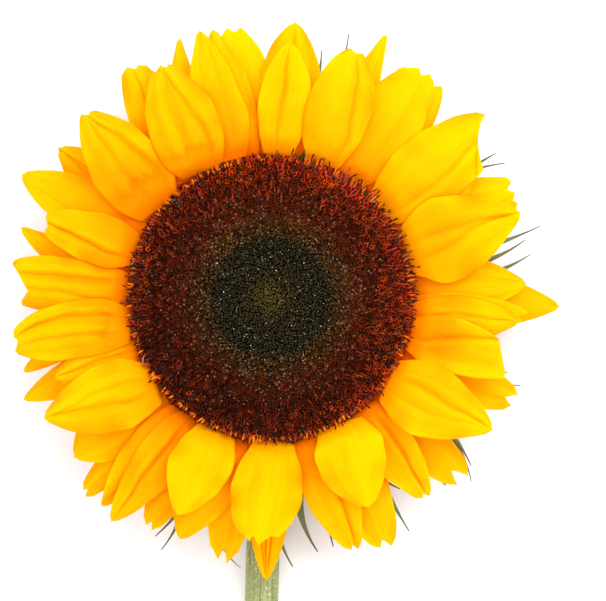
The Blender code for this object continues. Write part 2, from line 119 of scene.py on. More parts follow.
PETALS = [
    petal("01", 2, -1.7, 84.25, 17.0, 0.0, full=0.5, blunt=1.5, drop=-58, gold=0.6),
    petal("02", 5, 3.2, 74.5, 16.5, 1.0, gold=0.4),
    petal("03", -3, -4.0, 74.8, 10.0, 1.2, end=0.4, teeth=pair(0.5, 1.5), notch=2.0, gold=0.5),
    petal("04", -8, -5.5, 72.2, 14.0, 2.0, folds=((0.2, 0.12, 0.5),), gold=0.5),
    petal("05", -14, -15.3, 71.6, 16.0, 2.2, end=0.6, teeth=((-0.7, 0.0),), notch=2.6,
          rolls=(2.4, 0.6), hollow=1.6, gold=0.55, folds=((-0.5, 1.2, 1.0),), base=12.0),
    petal("06", -24, -22.7, 77.6, 15.5, 0.0, drop=-62, end=0.35, teeth=pair(0.6, 0.8), notch=3.0,
          gold=0.75),
    petal("07", -36.3, -30.8, 74.8, 21.5, 3.0, base=12.0, arch=2.6, full=0.42,
          folds=((0.25, 0.15, 0.8), (-0.3, -0.18, 0.35)), gold=0.35, blunt=1.65),
    petal("08", -44, -43.5, 77.5, 15.0, 0.0, end=0.42, teeth=pair(0.6, 0.6), notch=4.5, gold=0.85),
    petal("09", -50, -52.0, 73.8, 15.0, 1.0, end=0.2, teeth=pair(0.5, 0.6), notch=1.4, gold=0.6,
          rolls=(0.5, 2.0), folds=((0.35, 0.21, 1.1),)),
    petal("10", -60.5, -65.0, 66.9, 20.8, 3.0, base=10.0, arch=2.8, full=0.4, blunt=2.1, end=0.1,
          gold=0.0),
    petal("11", -63, -65.2, 80.5, 17.0, 0.0, end=0.3, teeth=pair(0.55, 0.8), notch=2.5, gold=0.75),
    petal("12", -76, -71.5, 77.5, 15.5, 1.0, end=0.2, teeth=pair(0.5, 0.6), notch=1.6, gold=0.65,
          rolls=(0.4, 1.8), folds=((0.4, 0.24, 1.0),)),
    petal("13", 272.5, 266.8, 72.0, 20.6, 3.0, base=15.5, arch=3.0, blunt=2.5, end=0.25,
          teeth=((0.1, 0.0), (-0.6, 1.0)), notch=2.2, gold=0.1),
    petal("14", 270, 269.0, 82.5, 12.0, 0.0, gold=1.0, full=0.5,
          folds=((0.3, 0.18, 1.0), (-0.1, -0.06, 0.8), (-0.5, -0.3, 1.0))),
    petal("15", 258, 259.6, 78.6, 15.0, 0.5, end=0.3, teeth=pair(0.5, 0.9), notch=4.0, gold=0.95),
    petal("16", 255, 249.3, 75.0, 18.4, 1.5, gold=0.9),
    petal("17", 248, 246.6, 68.6, 18.2, 3.0, base=11.0, arch=2.8, full=0.44, blunt=2.0, gold=0.05),
    petal("18", 243, 242.0, 76.2, 13.0, 0.0, end=0.3, teeth=pair(0.5, 0.6), notch=2.0, gold=0.95),
    petal("19", 237, 234.4, 80.0, 14.0, 1.0, gold=0.85, folds=((-0.1, -0.06, 1.0),)),
    petal("20", 232, 230.9, 78.2, 13.0, 0.6, gold=0.9, folds=((0.1, 0.06, 0.8),)),
    petal("21", 228, 226.3, 79.4, 11.5, 0.0, end=0.3, teeth=pair(0.5, 1.0), notch=1.6, gold=0.95),
    petal("22", 220, 219, 73.8, 18.6, 0.4, blunt=2.6, gold=0.9),
    petal("23", 218.5, 207.9, 74.5, 20.5, 3.0, base=13.0, arch=2.5, full=0.44, gold=0.3,
          folds=((0.3, 0.0, 0.7), (-0.4, -0.1, 0.5))),
    petal("24", 200, 202.3, 78.2, 12.0, 0.3, drop=-62, gold=0.9),
    petal("25", 203.2, 200.2, 67.0, 13.5, 2.2, gold=0.5, blunt=2.0, folds=((-0.2, -0.12, 0.7),)),
    petal("26", 178, 196.6, 75.5, 10.0, 0.5, drop=-61, gold=0.9),
    petal("27", 192.5, 190.3, 76.2, 17.0, 2.4, bow=-2.0, gold=0.6, blunt=2.6, base=12.5, end=0.3,
          teeth=((0.7, 0.0), (-0.6, 1.0)), notch=1.2, folds=((-0.45, -0.5, 1.0), (0.3, 0.1, 0.6)),
          arch=2.0, dent=(48.5, 0.6)),
    petal("28", 177, 176.0, 75.8, 16.0, 2.0, full=0.5, blunt=3.2, base=12.5, end=0.68,
          teeth=((-0.85, 0.0), (0.85, 3.6)), notch=3.4, gold=0.75,
          folds=((-0.35, -0.3, 0.8), (0.5, 0.2, 0.5)), arch=2.0),
    petal("29", 172, 164.2, 76.0, 10.0, 0.0, drop=-63, gold=0.7, bow=2.5),
    petal("30", 160.3, 161.5, 69.5, 15.5, 2.6, gold=0.95, base=12.0, full=0.42, arch=2.4,
          folds=((0.7, -0.1, 1.1),), end=0.35, teeth=((0.6, 1.0), (-0.6, 0.0)), notch=1.0),
    petal("31", 154, 153.7, 81.2, 17.0, 1.0, gold=0.75, blunt=2.0),
    petal("32", 147, 144.8, 76.1, 17.0, 0.5, drop=-58, gold=0.75, end=0.06, teeth=ONE_POINT,
          notch=1.4, folds=((-0.1, -0.1, 0.9), (0.2, 0.0, 0.5))),
    petal("33", 142, 135.2, 76.6, 21.6, 3.0, base=11.0, arch=2.8, full=0.44, blunt=1.75, end=0.12,
          teeth=((0.6, 0.0), (-0.6, 1.0)), notch=1.0, folds=((-0.9, -0.1, 0.9), (0.15, 0.1, 0.4)),
          hollow=0.8, gold=0.9, dent=(50.5, 1.0)),
    petal("34", 128, 120.9, 79.2, 17.0, 1.0, end=0.34, teeth=((0.45, 0.0), (-0.5, 0.8)), notch=1.2,
          gold=0.6, folds=((0.1, 0.06, 0.7),)),
    petal("35", 119.6, 115.3, 74.8, 21.3, 3.0, base=12.0, arch=2.8, full=0.42, end=0.22,
          teeth=((0.9, 0.7), (0.1, 0.0), (-0.7, 0.5)), notch=1.1, gold=0.8,
          folds=((-0.7, -0.1, 0.8), (0.2, 0.1, 0.3)), dent=(48.0, 0.8)),
    petal("36", 120, 109.4, 80.6, 10.5, 0.0, full=0.5, blunt=1.2, gold=0.5, bow=1.5),
    petal("37", 106.5, 105.0, 80.6, 16.0, 1.6, gold=0.5, full=0.42, blunt=1.6),
    petal("38", 100, 102.3, 80.1, 14.0, 1.5, gold=0.5, full=0.42),
    petal("39", 97.5, 98.0, 79.7, 19.5, 1.0, end=0.2, teeth=pair(0.8, 0.4), notch=1.2, gold=0.5,
          blunt=2.1),
    petal("40", 87.5, 85.5, 74.5, 15.0, 3.0, gold=0.35, blunt=2.4, base=16.0,
          folds=((0.15, 0.09, 0.6),)),
    petal("41", 85, 85.0, 80.75, 17.5, 1.0, gold=0.35, folds=((-0.2, -0.12, 0.6),), blunt=2.6),
    petal("42", 68.5, 71.1, 76.0, 18.8, 3.0, arch=2.5, gold=0.35, blunt=3.0, end=0.2, base=18.0,
          teeth=pair(0.8, 0.3), notch=0.6, folds=((-0.6, -0.3, 0.7),)),
    petal("43", 64, 66.4, 84.0, 14.5, 1.0, gold=0.35, full=0.4, blunt=0.9, bow=0.6),
    petal("44", 57, 56.4, 80.0, 19.0, 1.5, end=0.4, teeth=((0.3, 0.3), (-0.6, 0.0)), notch=1.6,
          gold=0.35, blunt=2.4),
    petal("45", 52, 51.2, 79.4, 14.0, 0.5, gold=0.35, blunt=2.2),
    petal("46", 38.5, 38.4, 82.0, 21.0, 2.5, arch=2.5, gold=0.35, blunt=2.4, end=0.4,
          teeth=((0.75, 0.0),), notch=7.0, base=14.0, folds=((-0.35, -0.21, 0.6),)),
    petal("47", 33, 32.7, 71.3, 16.0, 2.0, gold=0.35, blunt=2.4),
    petal("48", 27, 24.7, 77.8, 16.0, 1.0, end=0.34, teeth=pair(0.6, 0.4), notch=1.8, gold=0.35),
    petal("49", 22, 21.0, 77.2, 13.5, 0.5, gold=0.35),
    petal("50", 18.7, 18.9, 76.6, 25.0, 3.0, arch=2.5, gold=0.4, blunt=1.55, base=13.0, full=0.42,
          hollow=1.0, folds=((0.3, 0.1, 0.6), (-0.4, 0.2, 0.6))),
]

BRACTS = [
    bract("01", 80, 78.5, 74.0, 7.0, bow=1.0, hook=1.6),
    bract("02", 62, 61.0, 77.0, 6.5, hook=0.6),
    bract("03", 31, 32.8, 78.5, 8.5, bow=-1.0, hook=-1.2),
    bract("04", 12, 15.0, 81.5, 7.0, bow=-0.6, hook=0.6),
    bract("05", -16, -19.3, 77.5, 7.5, bow=-1.0, drop=-56, hook=1.6),
    bract("06", -38, -42.5, 79.5, 7.5, bow=2.5, hook=-2.2),
    bract("07", -58, -59.4, 79.5, 7.0, bow=1.0, hook=0.8),
    bract("08", -81, -79.6, 75.5, 9.0, bow=-1.5, hook=1.4),
    bract("09", -104, -96.5, 79.5, 7.0, bow=-2.5, hook=5.0),
    bract("10", -117, -113.6, 80.5, 7.5, bow=-1.0, hook=-2.6),
    bract("11", 212, 211.0, 66.0, 8.0),
    bract("12", 130, 131.0, 66.0, 8.0),
    bract("13", 72, 73.6, 80.5, 6.5, bow=-0.6, hook=0.3),
    bract("14", 40, 30.0, 79.0, 7.0, bow=1.0, hook=-1.0),
    bract("15", 6, 12.9, 76.2, 7.0, bow=-1.0, hook=1.2),
    bract("16", 3, 9.6, 77.0, 7.5, bow=-1.5, hook=1.0),
    bract("17", -7, -17.5, 72.5, 7.0, bow=1.5, hook=2.0),
    bract("18", -29, -40.0, 76.4, 7.5, bow=1.0, hook=-1.0),
    bract("19", -48, -47.0, 75.0, 7.0, hook=0.6),
    bract("20", -67, -56.0, 67.2, 8.0, bow=-1.0, hook=1.0),
    bract("21", -73, -76.0, 75.0, 7.0, bow=1.0, hook=0.8),
    bract("22", -90, -85.4, 79.0, 7.5, bow=-1.5, hook=1.6),
    bract("23", -107, -116.0, 77.6, 7.5, bow=1.0, hook=-1.0),
    bract("24", 50, 49.0, 64.0, 8.0),
    bract("25", 91, 92.0, 63.0, 8.0),
    bract("26", 104, 103.0, 64.0, 8.0),
    bract("27", 117, 116.0, 63.0, 8.0),
    bract("28", 143, 145.0, 62.0, 8.0),
    bract("29", 157, 156.0, 64.0, 8.0),
    bract("30", 171, 172.0, 63.0, 8.0),
    bract("31", 185, 184.0, 64.0, 8.0),
    bract("32", 198, 197.0, 60.0, 8.0),
    bract("33", 226, 227.0, 62.0, 8.0),
]


# ---------------------------------------------------------------- small helpers

def unit(degrees):
    angle = math.radians(degrees)
    return np.array([math.cos(angle), math.sin(angle)])


def smoothstep(value):
    value = np.clip(value, 0, 1)
    return value * value * (3 - 2 * value)


def wave(rng, x, turns=(1.1, 2.3, 4.1), sizes=(1.0, 0.55, 0.3)):
    """A smooth wandering curve of about -1 to 1, different for each state of rng."""
    return sum(size * np.sin(TURN * (turn * x + rng.random())) for turn, size in zip(turns, sizes)) / 1.6


def seeded(name):
    return np.random.RandomState(sum(ord(c) * (i + 1) for i, c in enumerate(name)) % 99991)


# ---------------------------------------------------------------- materials

class Shading:
    """A Principled material and short ways to add nodes to it."""

    def __init__(self, name, roughness, specular=0.3):
        self.material = bpy.data.materials.new(name)
        self.material.use_nodes = True
        self.tree = self.material.node_tree
        self.shader = self.tree.nodes["Principled BSDF"]
        self.shader.inputs["Roughness"].default_value = roughness
        self.shader.inputs["Specular IOR Level"].default_value = specular

    def node(self, kind, **settings):
        made = self.tree.nodes.new("ShaderNode" + kind)
        for key, value in settings.items():
            setattr(made, key, value)
        return made

    def feed(self, socket, value):
        if isinstance(value, bpy.types.NodeSocket):
            self.tree.links.new(value, socket)
        else:
            socket.default_value = value

    def attribute(self, name):
        return self.node("Attribute", attribute_name=name).outputs["Fac"]

    def colour_attribute(self, name):
        return self.node("Attribute", attribute_name=name).outputs["Color"]

    def place(self):
        return self.node("TexCoord").outputs["Object"]

    def noise(self, scale, detail=3.0, vector=None):
        made = self.node("TexNoise")
        made.inputs["Scale"].default_value = scale
        made.inputs["Detail"].default_value = detail
        self.feed(made.inputs["Vector"], vector or self.place())
        return made.outputs["Fac"]

    def ramp(self, value, *stops):
        made = self.node("ValToRGB")
        self.feed(made.inputs["Fac"], value)
        elements = made.color_ramp.elements
        while len(elements) < len(stops):
            elements.new(0.5)
        for element, (place, colour) in zip(elements, stops):
            element.position = place
            element.color = (*colour, 1.0)
        return made.outputs["Color"]

    def mix(self, amount, first, second, blend="MIX"):
        made = self.node("Mix", data_type="RGBA", blend_type=blend)
        self.feed(made.inputs["Factor"], amount)
        for socket, value in ((made.inputs["A"], first), (made.inputs["B"], second)):
            if isinstance(value, tuple):
                value = (*value, 1.0)
        colour_a, colour_b = [s for s in made.inputs if s.type == "RGBA"]
        for socket, value in ((colour_a, first), (colour_b, second)):
            self.feed(socket, (*value, 1.0) if isinstance(value, tuple) else value)
        return [s for s in made.outputs if s.type == "RGBA"][0]

    def maths(self, operation, first, second=0.0, third=0.0):
        made = self.node("Math", operation=operation)
        for socket, value in zip(made.inputs, (first, second, third)):
            self.feed(socket, value)
        return made.outputs["Value"]

    def bump(self, height, distance, strength=1.0, after=None):
        made = self.node("Bump")
        made.inputs["Strength"].default_value = strength
        made.inputs["Distance"].default_value = distance
        self.feed(made.inputs["Height"], height)
        if after is not None:
            self.feed(made.inputs["Normal"], after)
        return made.outputs["Normal"]

    def finish(self, colour, normal=None):
        self.feed(self.shader.inputs["Base Color"], colour)
        if normal is not None:
            self.feed(self.shader.inputs["Normal"], normal)
        return self.material

    def glow_inside(self, weight, radius, scale):
        self.shader.inputs["Subsurface Weight"].default_value = weight
        self.shader.inputs["Subsurface Radius"].default_value = radius
        self.shader.inputs["Subsurface Scale"].default_value = scale


def petal_material():
    """Yellow deepening to orange at the root, faint lengthwise veins, painted highlights and painted shade.
    """
    m = Shading("petal_yellow", 0.65, 0.01)
    along, across, gold = m.attribute("along"), m.attribute("across"), m.attribute("gold")
    lemon = m.ramp(along, (0.0, (0.80, 0.10, 0.0)), (0.14, (0.98, 0.22, 0.0)),
                   (0.34, (1.0, 0.33, 0.0)), (0.65, (1.0, 0.41, 0.0)), (1.0, (1.0, 0.51, 0.0)))
    golden = m.ramp(along, (0.0, (0.76, 0.09, 0.0)), (0.15, (0.93, 0.17, 0.0)),
                    (0.38, (0.97, 0.23, 0.0)), (0.7, (0.98, 0.33, 0.0)), (1.0, (0.98, 0.38, 0.0)))
    # Painted shade: each petal is mixed from the lemon ramp towards the golden ramp by its per-petal value.
    colour = m.mix(gold, lemon, golden)
    # Painted highlight and painted light: ridges, the middles of front petals and back-row petals are mixed
    # towards pale lemon.
    colour = m.mix(m.attribute("high"), colour, (1.0, 0.50, 0.0))
    # Painted shade: creases, dents and sunken hollows are mixed towards deep orange.
    colour = m.mix(m.attribute("deep"), colour, (0.82, 0.18, 0.0))
    stretched = m.node("CombineXYZ")
    m.feed(stretched.inputs["X"], m.maths("MULTIPLY", across, 19.0))
    m.feed(stretched.inputs["Y"], m.maths("MULTIPLY", along, 1.2))
    m.feed(stretched.inputs["Z"], m.maths("MULTIPLY", m.attribute("seed"), 37.0))
    veins = m.noise(1.0, 2.0, stretched.outputs["Vector"])
    streak = m.ramp(veins, (0.3, (0.97, 0.86, 0.8)), (0.65, (1.0, 1.0, 1.0)))
    colour = m.mix(0.6, colour, streak, "MULTIPLY")
    patches = m.ramp(m.noise(55.0, 2.0), (0.35, (0.98, 0.90, 0.8)), (0.65, (1.0, 1.04, 1.0)))
    colour = m.mix(0.8, colour, patches, "MULTIPLY")
    at_tip = m.ramp(along, (0.93, (0, 0, 0)), (1.0, (1, 1, 1)))
    speck = m.ramp(m.noise(700.0, 1.0), (0.62, (0, 0, 0)), (0.68, (1, 1, 1)))
    dark = m.maths("MULTIPLY", m.maths("MULTIPLY", speck, at_tip), 0.7)
    colour = m.mix(dark, colour, (0.28, 0.12, 0.01))
    normal = m.bump(veins, 0.0002, 0.4)
    normal = m.bump(m.noise(1600.0, 2.0), 0.00003, 0.4, normal)
    m.glow_inside(0.4, (1.0, 0.36, 0.01), 0.003)
    return m.finish(colour, normal)


def bract_material():
    """Grey-green, darker and browner towards the thin point."""
    m = Shading("bract_green", 0.6, 0.25)
    along, across = m.attribute("along"), m.attribute("across")
    colour = m.ramp(along, (0.0, (0.16, 0.22, 0.06)), (0.45, (0.13, 0.17, 0.06)),
                    (0.8, (0.17, 0.19, 0.10)), (0.93, (0.12, 0.12, 0.07)), (1.0, (0.04, 0.035, 0.025)))
    stretched = m.node("CombineXYZ")
    m.feed(stretched.inputs["X"], m.maths("MULTIPLY", across, 9.0))
    m.feed(stretched.inputs["Y"], m.maths("MULTIPLY", along, 2.0))
    veins = m.noise(1.0, 3.0, stretched.outputs["Vector"])
    colour = m.mix(0.7, colour, m.ramp(veins, (0.35, (0.7, 0.72, 0.6)), (0.65, (1.15, 1.15, 1.1))),
                   "MULTIPLY")
    normal = m.bump(veins, 0.0003, 0.6)
    m.glow_inside(0.1, (0.4, 0.6, 0.1), 0.001)
    return m.finish(colour, normal)


def stem_material():
    """Olive green, streaked along, speckled, with pale down."""
    m = Shading("stem_green", 0.62, 0.25)
    around, along = m.attribute("around"), m.attribute("along")
    stretched = m.node("CombineXYZ")
    m.feed(stretched.inputs["X"], m.maths("MULTIPLY", around, 26.0))
    m.feed(stretched.inputs["Y"], m.maths("MULTIPLY", along, 24.0))
    streaks = m.noise(1.0, 3.0, stretched.outputs["Vector"])
    colour = m.ramp(streaks, (0.3, (0.17, 0.20, 0.055)), (0.5, (0.27, 0.30, 0.11)),
                    (0.7, (0.40, 0.42, 0.21)))
    fine = m.noise(1500.0, 3.0)
    colour = m.mix(m.ramp(fine, (0.56, (0, 0, 0)), (0.66, (0.7, 0.7, 0.7))), colour,
                   (0.10, 0.10, 0.03))
    colour = m.mix(m.ramp(m.noise(900.0, 2.0), (0.6, (0, 0, 0)), (0.7, (0.5, 0.5, 0.5))), colour,
                   (0.62, 0.64, 0.42))
    normal = m.bump(streaks, 0.0006, 0.5)
    normal = m.bump(fine, 0.0002, 0.5, normal)
    m.glow_inside(0.1, (0.5, 0.6, 0.2), 0.002)
    return m.finish(colour, normal)


def cut_material():
    """Pale pith of the cut end."""
    m = Shading("stem_pith", 0.75, 0.2)
    cells = m.noise(2600.0, 3.0)
    colour = m.ramp(cells, (0.35, (0.42, 0.46, 0.20)), (0.6, (0.66, 0.68, 0.42)))
    return m.finish(colour, m.bump(cells, 0.0002, 0.6))


def floret_material(name, roughness, noise_scale=1800.0):
    """The colour that each floret's mesh carries, with a fine grain."""
    m = Shading(name, roughness, 0.06)
    grain = m.noise(noise_scale, 2.0)
    shade = m.ramp(grain, (0.3, (0.68, 0.68, 0.68)), (0.7, (1.25, 1.25, 1.25)))
    colour = m.mix(1.0, m.colour_attribute("tint"), shade, "MULTIPLY")
    return m.finish(colour, m.bump(grain, 0.0001, 0.4))


def hair_material():
    m = Shading("down", 0.6, 0.3)
    grain = m.noise(300.0, 2.0)
    return m.finish(m.ramp(grain, (0.3, (0.62, 0.64, 0.46)), (0.7, (0.86, 0.87, 0.74))))


def floor_material():
    m = Shading("pale_floor", 0.9, 0.1)
    grain = m.noise(6.0, 3.0)
    return m.finish(m.ramp(grain, (0.3, (0.95, 0.95, 0.95)), (0.7, (0.97, 0.97, 0.97))))


# ---------------------------------------------------------------- meshes

def add_piece(name, points, faces, material, attributes=None, smooth=60, node=None):
    """An object from points in millimetres, riding on the one body."""
    mesh = bpy.data.meshes.new(name)
    points = np.asarray(points, float) * MM + HEAD
    mesh.from_pydata(points.tolist(), [], faces)
    for key, values in (attributes or {}).items():
        values = np.asarray(values, np.float32)
        if values.ndim == 2:
            layer = mesh.color_attributes.new(key, "FLOAT_COLOR", "POINT")
            full = np.ones((len(values), 4), np.float32)
            full[:, :3] = values
            layer.data.foreach_set("color", full.ravel())
        else:
            layer = mesh.attributes.new(key, "FLOAT", "POINT")
            layer.data.foreach_set("value", values)
    mesh.shade_smooth()
    if smooth < 180:
        mesh.set_sharp_from_angle(angle=math.radians(smooth))
    mesh.materials.append(material)
    piece = bpy.data.objects.new(name, mesh)
    bpy.context.scene.collection.objects.link(piece)
    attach(piece, "root")
    if node:
        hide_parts(node)
    return piece


def grid_faces(rows, columns, start=0, flip=False):
    faces = []
    for r in range(rows - 1):
        for c in range(columns - 1):
            a = start + r * columns + c
            quad = (a, a + 1, a + columns + 1, a + columns)
            faces.append(quad[::-1] if flip else quad)
    return faces


def grid_normals(grid):
    down = np.gradient(grid, axis=0)
    across = np.gradient(grid, axis=1)
    normal = np.cross(across, down)
    return normal / np.maximum(np.linalg.norm(normal, axis=-1, keepdims=True), 1e-9)


def thick_sheet(grid, thickness):
    """Points and faces of a closed sheet around a grid, thinner along its edges."""
    rows, columns = grid.shape[:2]
    normal = grid_normals(grid)
    if normal[..., 2].mean() < 0:
        normal = -normal
    normal = normal + np.array([0, 0, 0.6])
    normal /= np.linalg.norm(normal, axis=-1, keepdims=True)
    edge = np.minimum(1.0, 0.45 + np.minimum.outer(
        np.minimum(np.arange(rows), np.arange(rows)[::-1]),
        np.minimum(np.arange(columns), np.arange(columns)[::-1])) * 0.3)
    offset = normal * (thickness / 2 * edge)[..., None]
    points = np.concatenate([(grid + offset).reshape(-1, 3), (grid - offset).reshape(-1, 3)])
    under = rows * columns
    faces = grid_faces(rows, columns, flip=True) + grid_faces(rows, columns, under)
    rim = list(range(columns))
    rim += [r * columns + columns - 1 for r in range(1, rows)]
    rim += [(rows - 1) * columns + c for c in range(columns - 2, -1, -1)]
    rim += [r * columns for r in range(rows - 2, 0, -1)]
    faces += [(a, b, under + b, under + a) for a, b in zip(rim, rim[1:] + rim[:1])]
    return points, faces


# ---------------------------------------------------------------- sheets: outline and drape

CELL = 0.5
GRID_HALF = 100.0
COVER = np.full((int(2 * GRID_HALF / CELL),) * 2, -1.0)


def cells(x, y):
    column = np.clip(((x + GRID_HALF) / CELL).astype(int), 1, len(COVER) - 2)
    row = np.clip(((y + GRID_HALF) / CELL).astype(int), 1, len(COVER) - 2)
    return row, column


def highest_below(x, y):
    row, column = cells(x, y)
    found = COVER[row, column]
    for down, right in ((-1, 0), (1, 0), (0, -1), (0, 1)):
        found = np.maximum(found, COVER[row + down, column + right])
    return found


def doubled(grid):
    """The grid with a point between each two."""
    tall = np.repeat(grid, 2, axis=0)[:-1]
    tall[1::2] = (grid[:-1] + grid[1:]) / 2
    wide = np.repeat(tall, 2, axis=1)[:, :-1]
    wide[:, 1::2] = (tall[:, :-1] + tall[:, 1:]) / 2
    return wide


def middle_line(sheet, s, root_radius):
    root = unit(sheet.root) * root_radius
    tip = unit(sheet.tip) * sheet.reach
    run = tip - root
    side = np.array([-run[1], run[0]]) / np.linalg.norm(run)
    bend = (root + tip) / 2 + side * sheet.bow * 2
    s = s[..., None]
    points = (1 - s) ** 2 * root + 2 * s * (1 - s) * bend + s ** 2 * tip
    tangent = 2 * (1 - s) * (bend - root) + 2 * s * (tip - bend)
    tangent /= np.linalg.norm(tangent, axis=-1, keepdims=True)
    return points, np.stack([-tangent[..., 1], tangent[..., 0]], axis=-1)


def half_width(sheet, s, distance, claw):
    """A narrow claw under the disc, a round inner end, then a taper to the tip."""
    widen = np.clip((distance - DISC_RADIUS + 0.1) / sheet.base, 0, 1)
    start = claw / sheet.width
    widen = start + (1 - start) * np.sqrt(1 - (1 - widen) ** 2)
    falling = np.clip((s - sheet.full) / (1 - sheet.full), 0, 1)
    if sheet.blunt:
        taper = (1 - falling ** sheet.blunt) ** 0.9
    else:
        taper = (1 - falling ** 0.5) ** 1.1
    return sheet.width / 2 * widen * (sheet.end + (1 - sheet.end) * taper)


def end_profile(sheet, t):
    """How far short of the tip the sheet ends, at each place across: its teeth and notches."""
    gap = 0.5 if len(sheet.teeth) > 1 else 1.0
    if len(sheet.teeth) > 1:
        places = sorted(place for place, _ in sheet.teeth)
        gap = min(b - a for a, b in zip(places, places[1:])) / 2
    each = [short + sheet.notch * (np.abs(t - place) / gap) ** 1.15 for place, short in sheet.teeth]
    return np.minimum(np.min(each, axis=0), sheet.notch * (1.6 if len(sheet.teeth) > 1 else 2.2))


PETAL_ROWS, PETAL_COLUMNS = 72, 41


def sheet_grid(sheet, rows, columns, root_radius, root_height, claw, rng):
    """Plan points, undraped heights and the along and across values of a sheet."""
    run = sheet.reach - root_radius
    even = np.linspace(0, 1, rows)
    v, t = np.meshgrid(even ** 1.25, np.linspace(-1, 1, columns), indexing="ij")
    s = v - end_profile(sheet, t) / run * v ** 7
    distance = root_radius + s * run
    points, side = middle_line(sheet, s, root_radius)
    half = half_width(sheet, s, distance, claw)
    half = half * (1 + 0.05 * np.where(t < 0, wave(rng, s), wave(rng, s)) * smoothstep(s * 3))
    late = np.clip((s - 0.45) / 0.55, 0, 1)
    hooked = -4 * late * (1 - late)
    sideways = half * t + sheet.hook * hooked
    ahead = np.stack([side[..., 1], -side[..., 0]], axis=-1)
    overhang = -0.13 * sheet.bulge * np.exp(-((distance - DISC_RADIUS - 1.6) / 0.9) ** 2)
    x = points[..., 0] + side[..., 0] * sideways + ahead[..., 0] * overhang
    y = points[..., 1] + side[..., 1] * sideways + ahead[..., 1] * overhang
    rise = math.tan(math.radians(sheet.lift))
    fall = math.tan(math.radians(sheet.drop))
    held = (DISC_RADIUS + 0.2 - root_radius) / run
    free = np.clip((s - held) / (1 - held), 0, 1)
    step = np.clip(free * run / (1.8 + 0.5 * sheet.bulge), 0, 1)
    height = root_height + sheet.bulge * np.sqrt(1 - (1 - step) ** 2)
    height += run * (rise * free + (fall - rise) * free ** 2 / 2)
    wide = half / half.max()
    height += sheet.arch * wide * smoothstep(free * 6) * (1 - t ** 2)
    return x, y, height, s, t, free, wide


def settle(low, own, distance):
    """The row heights of a sheet that clears low everywhere, with no more than gentle slopes.
    It may climb steeply just outside the disc."""
    height = np.maximum(low, own)
    stretch = np.diff(distance)
    for i in range(1, len(height)):
        height[i] = max(height[i], height[i - 1] - 0.5 * stretch[i - 1])
    for i in range(len(height) - 2, -1, -1):
        slope = 9.0 if distance[i] < DISC_RADIUS + 2.5 else 0.9
        height[i] = max(height[i], height[i + 1] - slope * stretch[i])
    padded = np.pad(height - own, 2, mode="edge")
    return np.convolve(padded, [0.1, 0.2, 0.4, 0.2, 0.1], "valid")


def drape(x, y, height, thickness):
    floor = highest_below(x, y) + SHEET_CLEARANCE + thickness / 2
    short = np.clip(floor - height, 0, None)
    middle = short.shape[1] // 2
    own = height[:, middle]
    distance = np.maximum.accumulate(np.hypot(x[:, middle], y[:, middle]))
    lifts = [settle(own + half.max(axis=1), own, distance)[:, None]
             for half in (short[:, :middle + 1], short[:, middle:])]
    across = np.linspace(-1, 1, short.shape[1])[None, :]
    mix = smoothstep((across + 0.6) / 1.2)
    height = height + lifts[0] * (1 - mix) + lifts[1] * mix
    height = np.clip(height, thickness / 2 + 0.05, HIGHEST_SHEET)
    rows, columns = cells(doubled(x), doubled(y))
    np.maximum.at(COVER, (rows, columns), doubled(height) + thickness / 2)
    return height


